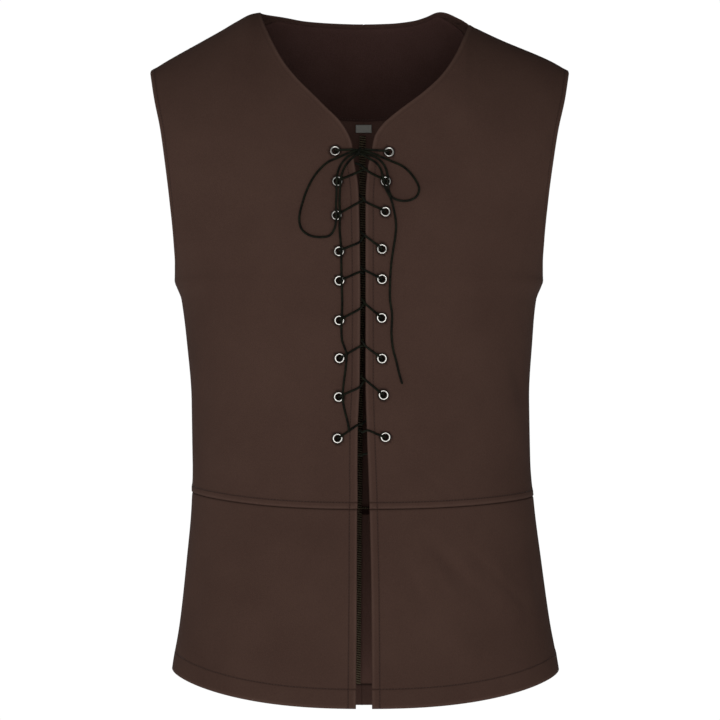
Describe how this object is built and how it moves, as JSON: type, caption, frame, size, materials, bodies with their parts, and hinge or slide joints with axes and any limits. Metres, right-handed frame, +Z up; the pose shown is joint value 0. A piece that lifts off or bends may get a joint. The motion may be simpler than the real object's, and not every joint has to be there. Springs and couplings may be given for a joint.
{
  "type": "lace-up vest",
  "caption": "Sleeveless V-neck costume vest with a waist seam and a laced front tied in a bow, filled out as worn.",
  "frame": {"origin": "midway between the middles of the two shoulder seams, where the wearer's shoulders hold it up", "axes": "+Z up, the front faces -Y, the wearer's left is +X"},
  "size_m": [0.4404, 0.2491, 0.749],
  "materials": {
    "suede": "dark brown faux suede, short soft nap",
    "facing": "dark brown faux suede, right side inwards",
    "label": "light grey woven ribbon, blank",
    "nickel": "bright nickel plate on pressed brass",
    "lace": "waxed black cotton cord"
  },
  "bodies": {
    "root": {"front_right": "suede", "front_left": "suede", "back_right": "suede", "back_left": "suede", "waist_front_right": "suede", "waist_front_left": "suede", "waist_back_right": "suede", "waist_back_left": "suede", "back_neck_facing": "facing", "size_label": "label", "eyelet_right_1": "nickel", "eyelet_right_2": "nickel", "eyelet_right_3": "nickel", "eyelet_right_4": "nickel", "eyelet_right_5": "nickel", "eyelet_right_6": "nickel", "eyelet_right_7": "nickel", "eyelet_right_8": "nickel", "eyelet_right_9": "nickel", "eyelet_left_1": "nickel", "eyelet_left_2": "nickel", "eyelet_left_3": "nickel", "eyelet_left_4": "nickel", "eyelet_left_5": "nickel", "eyelet_left_6": "nickel", "eyelet_left_7": "nickel", "eyelet_left_8": "nickel", "eyelet_left_9": "nickel", "lace_right": "lace", "lace_left": "lace", "bow_knot": "lace", "bow_loop_right": "lace", "bow_tail_right": "lace", "bow_loop_left": "lace", "bow_tail_left": "lace"}
  },
  "joints": []
}
